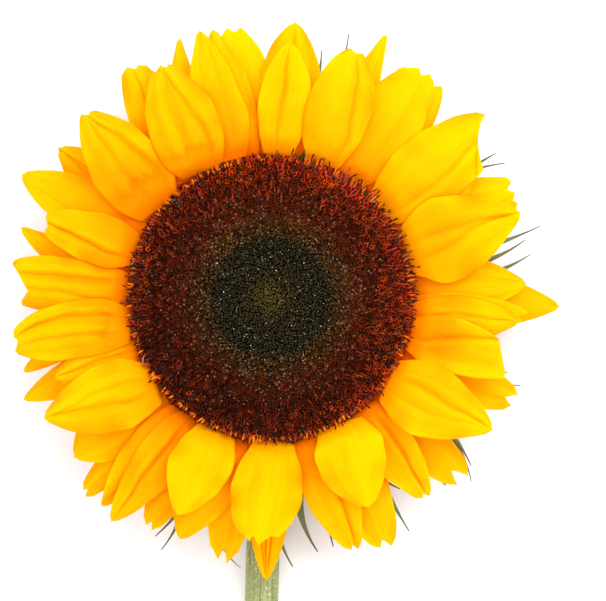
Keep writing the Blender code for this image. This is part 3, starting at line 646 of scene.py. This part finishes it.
def add_petal(sheet, material):
    rng = seeded(sheet.name)
    x, y, height, s, t, free, wide = sheet_grid(
        sheet, PETAL_ROWS, PETAL_COLUMNS, PETAL_ROOT_RADIUS, PETAL_ROOT_HEIGHT,
        PETAL_CLAW_WIDTH, rng)
    body = smoothstep(free * 5) * smoothstep((1.02 - s) * 6)
    smooth_height = height.copy()
    for _ in range(5):
        place, spread = rng.uniform(-0.85, 0.85), rng.uniform(0.07, 0.2)
        deep = 0.014 * sheet.width * rng.uniform(0.3, 1.3)
        late = smoothstep((s - rng.uniform(0, 0.5)) * 4)
        height -= deep * late * body * np.exp(-((t - place - 0.06 * wave(rng, s)) / spread) ** 2)
    # Painted shade: folds and dents also darken the colour towards orange along their creases, and a dent
    # over the part inside it.
    painted_crease_shade = np.zeros_like(height)
    for start, end, deep in sheet.folds:
        line = start + (end - start) * s + 0.06 * wave(rng, s)
        height -= deep * body * np.exp(-np.abs((t - line) / 0.10) ** 1.3)
        height += 0.5 * deep * body * np.exp(-((t - line + 0.22) / 0.16) ** 2)
        painted_crease_shade += 0.45 * deep * body * np.exp(-np.abs((t - line) / 0.06) ** 1.3)
    if sheet.dent:
        place, deep = sheet.dent
        beyond = PETAL_ROOT_RADIUS + s * (sheet.reach - PETAL_ROOT_RADIUS) - place - 1.5 * wave(rng, t)
        height -= deep * np.exp(-(beyond / 1.5) ** 2) * (1 - t ** 2)
        painted_crease_shade += deep * (0.45 * np.exp(-(beyond / 1.3) ** 2) + 0.35 * smoothstep(-beyond / 2)) * (1 - t ** 2)
    margin = np.abs(t) ** 2.5 * smoothstep(free * 3)
    height += margin * np.where(t < 0, wave(rng, s), wave(rng, s)) * 0.08 * sheet.width
    rolled = np.where(t < 0, sheet.rolls[0], sheet.rolls[1]) + rng.uniform(-0.8, 0.5)
    height += rolled * smoothstep((np.abs(t) - 0.35) / 0.65) * smoothstep(free * 3)
    height -= sheet.hollow * np.exp(-((free - 0.3) / 0.22) ** 2) * (1 - t ** 2)
    relief = (height - smooth_height) * smoothstep(free * 4)
    # Painted orange shade in sunken relief, creases and dents.
    deep = np.clip(-relief / 3.4 + painted_crease_shade, 0, 0.8)
    # Painted light: back-row petals are made lighter to offset their shade; ridges and front-petal middles
    # get painted highlights.
    back_row_painted_light = np.clip(1 - sheet.row / 2.5, 0, 1)
    high = np.clip(relief / 3.0 + 0.05 * sheet.row * wide * (1 - t ** 2)
                   + 0.4 * back_row_painted_light * (1 - 0.5 * sheet.gold), 0, 0.8)
    high = high * smoothstep(free * 3)
    height += rng.uniform(-1.2, 1.2) * t * free
    height += (sheet.curl + rng.uniform(-1.8, 1.0)) * smoothstep((s - 0.75) / 0.25)
    height += 0.35 * wave(rng, s + 0.2 * t) * smoothstep(free * 4)
    height = drape(x, y, height, PETAL_THICKNESS)
    points, faces = thick_sheet(np.stack([x, y, height], axis=-1), PETAL_THICKNESS)
    both = [np.concatenate([a.ravel(), a.ravel()]) for a in (s, (t + 1) / 2, deep, high)]
    shown = (0.23 + 0.16 * (1 - sheet.gold)) * smoothstep((sheet.row - 1.8) / 1.2)
    # Per-petal painted shade towards the golden ramp, with a little random tone.
    gold = np.full(len(points), np.clip(sheet.gold + rng.uniform(-0.08, 0.08), 0, 1))
    node = sheet.name if sheet.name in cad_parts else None
    add_piece(sheet.name + "_ray", points, faces, material,
              {"along": both[0] * (1 - shown) + shown, "across": both[1], "gold": gold,
               "deep": both[2], "high": both[3], "seed": np.full(len(points), rng.random())},
              80, node)


def add_bract(sheet, material):
    rng = seeded(sheet.name)
    x, y, height, s, t, free, wide = sheet_grid(
        sheet, 44, 11, BRACT_ROOT_RADIUS, BRACT_ROOT_HEIGHT, 5.0, rng)
    height -= 0.5 * (1 - t ** 2) * 0.6 * wide
    height += 0.3 * wave(rng, s) * np.abs(t) ** 2
    height += rng.uniform(-2.0, 2.5) * smoothstep((s - 0.6) / 0.4)
    height = drape(x, y, height, BRACT_THICKNESS)
    points, faces = thick_sheet(np.stack([x, y, height], axis=-1), BRACT_THICKNESS)
    both = [np.concatenate([a.ravel(), a.ravel()]) for a in (s, (t + 1) / 2)]
    node = sheet.name if sheet.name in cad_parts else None
    add_piece(sheet.name + "_scale", points, faces, material,
              {"along": both[0], "across": both[1]}, 80, node)


# ---------------------------------------------------------------- stem and receptacle

def stem_rings(straight_rings, bend_rings):
    """Centre, turn and radius of each ring from the cut end to the head."""
    bend_z = STEM_RADIUS + NECK_BEND_RADIUS
    rings = []
    for s in np.linspace(0, 1, straight_rings)[:-1]:
        y = -STEM_LENGTH + s * (STEM_LENGTH - NECK_BEND_RADIUS)
        x = -4.6 * math.sin(math.pi * s) + 5.0 * (1 - s) ** 2
        radius = STEM_RADIUS + 0.7 * (1 - s) ** 2
        rings.append((np.array([x, y, radius]), 0.0, radius))
    for turn in np.linspace(0, math.pi / 2, bend_rings):
        y = -NECK_BEND_RADIUS * (1 - math.sin(turn))
        z = bend_z - NECK_BEND_RADIUS * math.cos(turn)
        flare = smoothstep(turn / (math.pi / 2) * 1.35 - 0.35)
        radius = STEM_RADIUS + (NECK_FLARE_RADIUS - STEM_RADIUS) * flare
        rings.append((np.array([0.0, y, z]), turn, radius))
    return rings


def add_stem():
    rng = seeded("stem")
    sides = 72
    rings = stem_rings(150, 26)
    angles = np.arange(sides) / sides * TURN
    length = np.arange(len(rings)) / len(rings)
    slow = wave(rng, length * 2)
    points, around, along = [], [], []
    for index, (centre, turn, radius) in enumerate(rings):
        ribs = 0.012 * np.cos(11 * angles + 2 * slow[index]) + 0.008 * np.cos(17 * angles)
        local = radius * 0.985 * (1 + ribs + 0.012 * slow[index])
        across, up = local * np.cos(angles), local * np.sin(angles)
        up = np.maximum(up, -centre[2] + 0.05) if turn == 0 else up
        slant = STEM_CUT_SLANT * up / radius / 2 if index == 0 else 0 * up
        points.append(np.stack([centre[0] + across, centre[1] - up * math.sin(turn) + slant,
                                centre[2] + up * math.cos(turn)], axis=1))
        around.append(np.abs(np.arange(sides) / sides * 2 - 1))
        along.append(np.full(sides, length[index]))
    points = np.concatenate(points)
    faces = []
    for ring in range(len(rings) - 1):
        for i in range(sides):
            j = (i + 1) % sides
            a, b = ring * sides, (ring + 1) * sides
            faces.append((a + i, a + j, b + j, b + i))
    last = (len(rings) - 1) * sides
    faces.append(tuple(last + i for i in range(sides)))
    rim = points[:sides]
    centre = rim.mean(axis=0)
    inner_start = len(points)
    cap = [rim * 0.86 + centre * 0.14, rim * 0.8 + centre * 0.2 + [0, 0.5, 0],
           rim * 0.4 + centre * 0.6 + [0, 0.7, 0], np.repeat(centre[None], sides, 0) + [0, 0.5, 0]]
    points = np.concatenate([points] + cap[:3] + [cap[3][:1]])
    starts = [0] + [inner_start + i * sides for i in range(3)]
    for outer, inner in zip(starts, starts[1:]):
        for i in range(sides):
            j = (i + 1) % sides
            faces.append((outer + j, outer + i, inner + i, inner + j))
    tip = len(points) - 1
    pith_from = len(faces) - 2 * sides
    faces += [(starts[-1] + (i + 1) % sides, starts[-1] + i, tip) for i in range(sides)]
    extra = len(points) - inner_start
    piece = add_piece("stem_skin", points, faces, stem_material(),
                      {"around": np.concatenate(around + [np.zeros(extra)]),
                       "along": np.concatenate(along + [np.zeros(extra)])}, 70, "stem")
    piece.data.materials.append(cut_material())
    for polygon in piece.data.polygons[pith_from:]:
        polygon.material_index = 1
    add_stem_hairs(rings, rng)


def add_stem_hairs(rings, rng):
    """Short stiff hairs that stand out from the stem."""
    points, faces = [], []
    for _ in range(5200):
        index = rng.randint(len(rings) - 2)
        centre, turn, radius = rings[index]
        ahead = rings[index + 1][0] - centre
        angle = rng.uniform(-0.15, math.pi + 0.15) if turn == 0 else rng.uniform(0, TURN)
        if turn > 1.2:
            continue
        out = np.array([math.cos(angle), -math.sin(angle) * math.sin(turn),
                        math.sin(angle) * math.cos(turn)])
        base = centre + ahead * rng.random() + out * radius * 0.975
        along = ahead / np.linalg.norm(ahead)
        lean = out + along * rng.uniform(-0.5, 0.2) + rng.uniform(-0.25, 0.25, 3)
        tip = base + lean / np.linalg.norm(lean) * rng.uniform(0.35, 1.15)
        if min(base[2], tip[2]) < 0.1:
            continue
        side = np.cross(out, along)
        thick = rng.uniform(0.025, 0.05)
        start = len(points)
        for a in range(3):
            points.append(base + thick * (math.cos(a * TURN / 3) * side + math.sin(a * TURN / 3) * along))
        points.append(tip)
        faces += [(start, start + 1, start + 3), (start + 1, start + 2, start + 3),
                  (start + 2, start, start + 3), (start + 2, start + 1, start)]
    add_piece("stem_hairs", points, faces, hair_material())


def turned(profile, sides, ripple=None):
    """Points and faces of a closed turned solid whose profile starts and ends on the axis."""
    rings = profile[1:-1]
    angles = np.arange(sides) / sides * TURN
    points = [np.array([[profile[0][0], 0, profile[0][1]]])]
    for radius, height in rings:
        r = radius * (1 + (ripple(angles, radius) if ripple else 0 * angles))
        points.append(np.stack([r * np.cos(angles), r * np.sin(angles),
                                np.full(sides, height)], axis=1))
    points.append(np.array([[profile[-1][0], 0, profile[-1][1]]]))
    faces = []
    for i in range(sides):
        j = (i + 1) % sides
        faces.append((0, 1 + j, 1 + i))
        for ring in range(len(rings) - 1):
            a, b = 1 + ring * sides, 1 + (ring + 1) * sides
            faces.append((a + i, a + j, b + j, b + i))
        last = 1 + (len(rings) - 1) * sides
        faces.append((last + i, last + j, last + sides))
    return np.concatenate(points), faces


def add_receptacle():
    """The green plate, with the low ribs of the bract roots under it."""
    base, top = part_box("receptacle")[0][2] / MM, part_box("receptacle")[1][2] / MM
    rim = 40.6
    shape = [(0, 0), (9.4, 0), (12, 0.3), (15, 0.95), (19, 2.0), (23, 3.2), (27, 4.4), (31, 5.6),
             (34, 6.5), (37, 7.4), (39, 8.2), (rim - 0.4, 9.0), (rim, 9.6)]
    profile = [(r, base + z) for r, z in shape] + [(rim - 0.6, top - 0.1), (0, top - 0.1)]
    points, faces = turned(profile, 128, lambda a, r: 0.006 * np.cos(33 * a) * (r > 14))
    around = np.concatenate([[0], np.tile(np.arange(128) / 128, len(profile) - 2), [0]])
    add_piece("receptacle_plate", points, faces, stem_material(),
              {"around": np.abs(around * 2 - 1) * 3, "along": np.linalg.norm(points, axis=1) / 300},
              60, "receptacle")


# ---------------------------------------------------------------- the disc

# How far the styles at the rim lean out over the petals: direction in degrees, then 0 to 1
RIM_SPREAD = [(0, 0.8), (30, 1.1), (48, 1.5), (65, 1.3), (90, 0.4), (115, 0.0), (140, 0.2),
              (180, 0.8), (210, 0.2), (235, -0.2), (265, 0.7), (300, 0.2), (315, 0.4), (330, 0.0),
              (345, 0.4), (360, 0.8)]


def rim_spread(angle):
    """How far the styles lean out at a direction in radians."""
    directions, spreads = zip(*RIM_SPREAD)
    return float(np.interp(math.degrees(angle) % 360, directions, spreads))


def redder_and_lit_side(angle):
    """1 on the side of the disc towards the key light, which is redder and painted lighter, and 0 on the
    other.
    """
    return 0.5 + 0.5 * math.cos(angle - 0.9)


def disc_height(r):
    """Height of the tops of the florets at a distance from the middle."""
    stops = [0, 7, 14, 19, 24, 31, 36, 39.5, 42]
    heights = [40.8, 41.2, 41.8, 42.2, 43.0, 43.8, 43.5, 42.6, 41.2]
    return np.interp(r, stops, heights)


def seeds():
    """Distance and angle of each floret: the golden angle, set closer towards the middle."""
    golden = math.pi * (3 - math.sqrt(5))
    radii = np.linspace(0, DISC_RADIUS, 800)
    spacing = np.interp(radii, [0, BUD_RADIUS, BUD_RADIUS + 5, DISC_RADIUS], [0.86, 0.92, 1.2, 1.36])
    inside = np.cumsum(TURN * radii / (0.87 * spacing ** 2)) * (radii[1] - radii[0])
    number = np.arange(int(inside[-1]))
    return np.interp(number + 0.5, inside, radii), number * golden


def outwards(angle):
    """The level direction away from the middle."""
    return np.array([math.cos(angle), math.sin(angle), 0.0])


def plain(colour, points):
    """One colour for every point."""
    return np.repeat(np.array(colour)[None], len(points), 0)


def frame_at(angle, lean):
    """Forward, around and axis directions of a floret that leans outwards by an angle."""
    out = outwards(angle)
    around = np.array([-math.sin(angle), math.cos(angle), 0.0])
    axis = out * math.sin(lean) + np.array([0, 0, math.cos(lean)])
    forward = out * math.cos(lean) - np.array([0, 0, math.sin(lean)])
    return forward, around, axis


class Batch:
    """Small shapes that share one mesh, each vertex with its colour."""

    def __init__(self):
        self.points, self.faces, self.tints = [], [], []
        self.count = 0

    def add(self, points, faces, tints):
        self.points.append(points)
        self.faces += [tuple(i + self.count for i in face) for face in faces]
        self.tints.append(tints)
        self.count += len(points)

    def piece(self, name, material, slot, node=None):
        add_piece(name, np.concatenate(self.points), self.faces, material,
                  {"tint": np.concatenate(self.tints)}, 50, node)


def tube(centres, radii, sides, directions):
    """A closed tapering tube through centres. directions are two fixed cross directions."""
    angles = np.arange(sides) / sides * TURN
    ring = np.cos(angles)[:, None] * directions[0] + np.sin(angles)[:, None] * directions[1]
    points = np.concatenate([centre + ring * radius for centre, radius in zip(centres, radii)])
    faces = []
    for k in range(len(centres) - 1):
        for i in range(sides):
            j = (i + 1) % sides
            a, b = k * sides, (k + 1) * sides
            faces.append((a + i, a + j, b + j, b + i))
    faces.append(tuple(range(sides))[::-1])
    last = (len(centres) - 1) * sides
    faces.append(tuple(last + i for i in range(sides)))
    return points, faces


def add_disc():
    """Closed buds in the middle, open florets round them, pale specks as painted glints, a fringe and the
    ground.
    """
    rng = seeded("disc")
    radii, angles = seeds()
    closed, tubes, anthers, styles = Batch(), Batch(), Batch(), Batch()
    for r, angle in zip(radii, angles):
        r += rng.normal(0, 0.12)
        angle += rng.normal(0, 0.12) / max(r, 1)
        if r < BUD_RADIUS + rng.normal(0, 0.7):
            add_bud(closed, r, angle, rng)
        else:
            add_open_floret(tubes, anthers, styles, r, angle, rng)
    # Painted glints: pale specks scattered over the buds.
    for _ in range(GLINT_SPECKS):
        add_painted_glint(closed, rng)
    add_fringe(tubes, rng)
    closed.piece("closed_florets", floret_material("bud_skin", 0.55), "disc_buds", "disc_buds")
    tubes.piece("open_floret_tubes", floret_material("floret_skin", 0.55), "disc_florets",
                "disc_florets")
    anthers.piece("anther_tubes", floret_material("anther_skin", 0.5), "disc_florets")
    styles.piece("styles", floret_material("style_skin", 0.42), "disc_florets")
    add_bed()


def add_bud(batch, r, angle, rng):
    """A closed floret: a few thin pointed scales that cross over it."""
    forward, around, axis = frame_at(angle, 0.12 * r / BUD_RADIUS)
    top = outwards(angle) * r + np.array([0, 0, disc_height(r) + rng.uniform(-0.3, 0.2)])
    middle = math.exp(-(r / 5.5) ** 2)
    edge = smoothstep((r - 16.3) / 3)
    ground = np.array([0.028, 0.022, 0.010]) * (1 - edge) + np.array([0.090, 0.040, 0.012]) * edge
    ground = ground + np.array([0.050, 0.036, 0.002]) * middle
    size = 0.5
    steps = [(-2.6, 0.9), (-0.9, 1.0), (-0.2, 0.65), (0.12, 0.2)]
    points, faces = tube([top + axis * up for up, _ in steps], [size * wide for _, wide in steps],
                         5, (forward, around))
    batch.add(points, faces, plain(ground * rng.uniform(0.5, 1.5), points))
    for _ in range(2):
        turn = rng.uniform(0, TURN)
        lean = math.cos(turn) * forward + math.sin(turn) * around
        start = top - axis * 0.6 + lean * size * 0.5
        pale = rng.random() < 0.3 + 0.3 * middle
        colour = ground * rng.uniform(0.8, 1.6)
        if pale:
            colour = colour * 2.2 + np.array([0.030, 0.028, 0.012])
        tip = start + axis * rng.uniform(0.5, 1.0) + lean * rng.uniform(-1.0, 0.4)
        points, faces = tube([start, (start + tip) / 2 + axis * 0.15, tip], [0.16, 0.11, 0.03], 3,
                             (forward, around))
        batch.add(points, faces, plain(colour, points))


def add_painted_glint(batch, rng):
    """A pale speck on the buds, a painted glint."""
    r = min(abs(rng.normal(15.5, 5.5)), 27.0)
    angle = rng.uniform(0, TURN)
    forward, around, axis = frame_at(angle, 0.0)
    size = rng.uniform(0.05, 0.12) + 0.06 * (rng.random() < 0.1)
    middle = outwards(angle) * r + np.array([0, 0, disc_height(r) + rng.uniform(0.15, 0.45)])
    points, faces = tube([middle + axis * size * k for k in (-1, 0, 1)],
                         [size * 0.3, size, size * 0.3], 6, (forward, around))
    colour = np.array([0.9, 0.9, 0.8]) * rng.uniform(0.2, 0.9)
    batch.add(points, faces, plain(colour, points))


def add_open_floret(tubes, anthers, styles, r, angle, rng):
    """An open floret: a five-lobed tube, the anther tube in it and, further out, a style."""
    age = smoothstep((r - BUD_RADIUS) / (DISC_RADIUS - BUD_RADIUS))
    spread = 0.4 + 0.6 * rim_spread(angle)
    lean = 0.05 + 0.5 * spread * smoothstep((r - 33) / 9) + rng.normal(0, 0.12)
    forward, around, axis = frame_at(angle, lean)
    size = 0.40 + 0.2 * smoothstep((r - BUD_RADIUS) / 6)
    root = outwards(angle) * (r - math.sin(lean) * 4.0)
    root = root + np.array([0, 0, disc_height(r) - FLORET_DEPTH * math.cos(lean)])
    mouth = 3.3 + rng.uniform(-0.4, 0.4)
    colour = tube_colour(r, angle, rng)
    turn = rng.uniform(0, TURN)
    points = []
    for k in range(10):
        a = turn + k * TURN / 10
        ring = (math.cos(a) * forward + math.sin(a) * around) * rng.uniform(0.85, 1.15)
        lip_height, lip_size = (0.3, 1.15) if k % 2 == 0 else (-0.15, 0.9)
        points += [root + axis * 0.5 + ring * size * 0.6,
                   root + axis * mouth * 0.75 + ring * size * 0.9,
                   root + axis * (mouth + lip_height) + ring * size * lip_size,
                   root + axis * (mouth * 0.78) + ring * size * 0.5]
    faces = []
    for k in range(10):
        n = (k + 1) % 10
        for layer in range(3):
            faces.append((4 * k + layer, 4 * n + layer, 4 * n + layer + 1, 4 * k + layer + 1))
    faces.append(tuple(4 * k + 3 for k in range(10)))
    faces.append(tuple(4 * k for k in range(10))[::-1])
    tints = plain(colour, points)
    tints[2::4] = colour * rng.uniform(0.7, 1.7, (10, 1))
    # Painted shade: the inner wall and floor of each floret's mouth are made much darker.
    tints[3::4] = colour * 0.3
    tubes.add(np.array(points), faces, tints)
    tall = mouth + 0.1 + 1.2 * age * rng.uniform(0.3, 1.0)
    centres = [root + axis * 1.5, root + axis * (tall - 0.5), root + axis * tall]
    points, faces = tube(centres, [0.26, 0.3, 0.11], 5, (forward, around))
    tints = plain(np.array([0.030, 0.008, 0.004]) * rng.uniform(0.6, 1.6), points)
    if rng.random() < 0.35 * (1 - 0.7 * age):
        tints[-5:] = np.array([0.42, 0.26, 0.13]) * rng.uniform(0.3, 1.2)
    anthers.add(points, faces, tints)
    if rng.random() < smoothstep((r - 25) / 7) * (0.95 - 0.35 * smoothstep((r - 38) / 3)):
        add_style(styles, root + axis * (tall - 0.3), r, (forward, around, axis), rng)


def add_fringe(batch, rng):
    """Orange-red lobes that point out from under the rim, over the roots of the petals."""
    evenly = np.arange(FRINGE_LOBES) / FRINGE_LOBES * TURN
    for angle in evenly + rng.normal(0, 0.012, FRINGE_LOBES):
        forward, around, axis = frame_at(angle, rng.uniform(1.0, 1.35))
        start = outwards(angle) * (DISC_RADIUS - 1.4) + np.array([0, 0, rng.uniform(40.6, 41.8)])
        reach = rng.uniform(1.2, 2.2) + 0.7 * rim_spread(angle)
        wide = rng.uniform(0.3, 0.5)
        side = rng.normal(0, 0.25) * around
        path = [start + (axis + side) * reach * k for k in (0.0, 0.35, 0.7, 1.0)]
        points, faces = tube(path, [wide * 0.7, wide, wide * 0.7, 0.05], 5,
                             (forward * 0.35, around))
        colour = np.array([0.80, 0.17, 0.004]) * rng.uniform(0.5, 1.15)
        if rng.random() < 0.35:
            colour = np.array([0.34, 0.03, 0.006])
        batch.add(points, faces, plain(colour, points))


def tube_colour(r, angle, rng):
    """Olive near the buds, then maroon, with more red and orange on the warm side and the rim, and painted
    light on the side towards the key light.
    """
    warm = redder_and_lit_side(angle)
    olive = np.array([0.145, 0.062, 0.013])
    maroon = np.array([0.150, 0.020, 0.004])
    near = smoothstep((r - 20) / 6)
    colour = olive * (1 - near) + maroon * near
    draw = rng.random()
    outer = smoothstep((r - 29) / 8)
    if draw < (0.18 + 0.30 * warm) * outer:
        colour = np.array([0.58, 0.085, 0.003])
    elif draw < (0.30 + 0.5 * warm) * outer:
        colour = np.array([0.40, 0.026, 0.010])
    elif draw > 0.985:
        colour = np.array([0.13, 0.085, 0.045])
    elif draw > 0.6:
        colour = colour * 0.7 + np.array([0.055, 0.022, 0.010])
    # Painted light: florets on the side towards the key light are made lighter; lighter still towards the
    # rim.
    lit_side_and_rim = (0.85 + 0.35 * warm) * (1 + 0.5 * smoothstep((r - 34) / 6))
    return colour * rng.uniform(0.65, 1.85) * lit_side_and_rim


def add_style(batch, start, r, directions, rng):
    """The stalk that stands out of a floret and curls at its end."""
    forward, around, axis = directions
    rim = smoothstep((r - 34) / 7)
    angle = math.atan2(start[1], start[0])
    spread = rim_spread(angle)
    reach = rng.uniform(1.6, 2.6) + rim * (1.1 * spread - 0.7)
    leaning = 0.35 + rim * (0.9 * spread - 0.35) + rng.uniform(-0.25, 0.35)
    heading = axis * 0.9 + forward * leaning + around * rng.normal(0, 0.22)
    heading /= np.linalg.norm(heading)
    bend = forward * rng.uniform(0.0, 0.9) - axis * rng.uniform(0.1, 0.6)
    bend = bend + around * rng.normal(0, 0.45)
    steps = np.linspace(0, 1, 8)
    sway = rng.uniform(-0.16, 0.16)
    path = [start + heading * reach * s + bend * reach * 0.42 * s ** 2.4
            + around * sway * math.sin(s * 5.0) for s in steps]
    thick = np.array([0.17, 0.18, 0.17, 0.17, 0.18, 0.22, 0.24, 0.10]) * rng.uniform(0.85, 1.2)
    points, faces = tube(path, thick, 5, (forward * 0.7 + axis * 0.7, around))
    colour = np.array([0.13, 0.011, 0.003]) * rng.choice([0.25, 0.45, 0.8, 1.3, 2.2])
    # Painted light: styles on the side towards the key light are made lighter.
    colour = colour * (0.4 + 0.9 * redder_and_lit_side(angle))
    tints = plain(colour, points)
    tints[-15:] *= rng.uniform(0.4, 1.0)
    batch.add(points, faces, tints)


def add_bed():
    """The solid ground between the florets' feet."""
    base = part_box("disc_florets")[0][2] / MM
    radii = np.linspace(0, 40.6, 24)[1:]
    profile = [(0, base + 0.1), (37.2, base + 0.1), (37.6, 38.6), (40.2, 38.8)]
    profile += [(r, float(disc_height(r)) - 3.2) for r in radii[::-1] if r < 40] + [(0, 37.6)]
    points, faces = turned(profile, 96)
    tints = plain([0.03, 0.012, 0.006], points)
    add_piece("disc_bed", points, faces, floret_material("bed_skin", 0.8), {"tint": tints}, 60)


# ---------------------------------------------------------------- stage

def add_floor():
    """The pale floor that the flower lies on."""
    mesh = bpy.data.meshes.new("floor")
    half = 3.0
    mesh.from_pydata([(-half, -half, 0), (half, -half, 0), (half, half, 0), (-half, half, 0)], [],
                     [(0, 1, 2, 3)])
    mesh.materials.append(floor_material())
    floor = bpy.data.objects.new("floor", mesh)
    bpy.context.scene.collection.objects.link(floor)


def add_light(name, place, target, size, energy):
    """A square soft light that looks at a target."""
    light = bpy.data.lights.new(name, "AREA")
    light.shape = "SQUARE"
    light.size = size
    light.energy = energy
    made = bpy.data.objects.new(name, light)
    made.location = place
    made.rotation_euler = (Vector(target) - Vector(place)).to_track_quat("-Z", "Y").to_euler()
    bpy.context.scene.collection.objects.link(made)


def add_stage():
    """The floor, two soft lights and a white world."""
    add_floor()
    x, y = HEAD[0], HEAD[1]
    add_light("key", (x + 0.5, y + 0.6, 1.4), (x, y, 0.03), 1.0, 17.0)
    add_light("fill", (x - 0.5, y - 0.2, 1.5), (x, y, 0.03), 1.2, 5.5)
    world = bpy.data.worlds.new("studio")
    world.use_nodes = True
    world.node_tree.nodes["Background"].inputs["Color"].default_value = (1, 1, 1, 1)
    world.node_tree.nodes["Background"].inputs["Strength"].default_value = 1.22
    bpy.context.scene.world = world
    bpy.context.scene.view_settings.view_transform = "Standard"


def add_camera():
    """A long lens that looks straight down on the face."""
    frame_width = 0.1757
    height = 2.6
    face = 0.038
    camera = bpy.data.cameras.new("camera")
    camera.sensor_width = 36.0
    camera.lens = 36.0 * (height - face) / frame_width
    made = bpy.data.objects.new("camera", camera)
    made.location = (HEAD[0] + 0.0093, HEAD[1] - 0.0007, height)
    bpy.context.scene.collection.objects.link(made)
    bpy.context.scene.camera = made


def build():
    """Everything, the petals from the back row to the front one."""
    add_camera()
    add_stage()
    add_stem()
    add_receptacle()
    green = bract_material()
    for each in BRACTS:
        add_bract(each, green)
    yellow = petal_material()
    for each in sorted(PETALS, key=lambda sheet: sheet.row):
        add_petal(each, yellow)
    add_disc()


build()
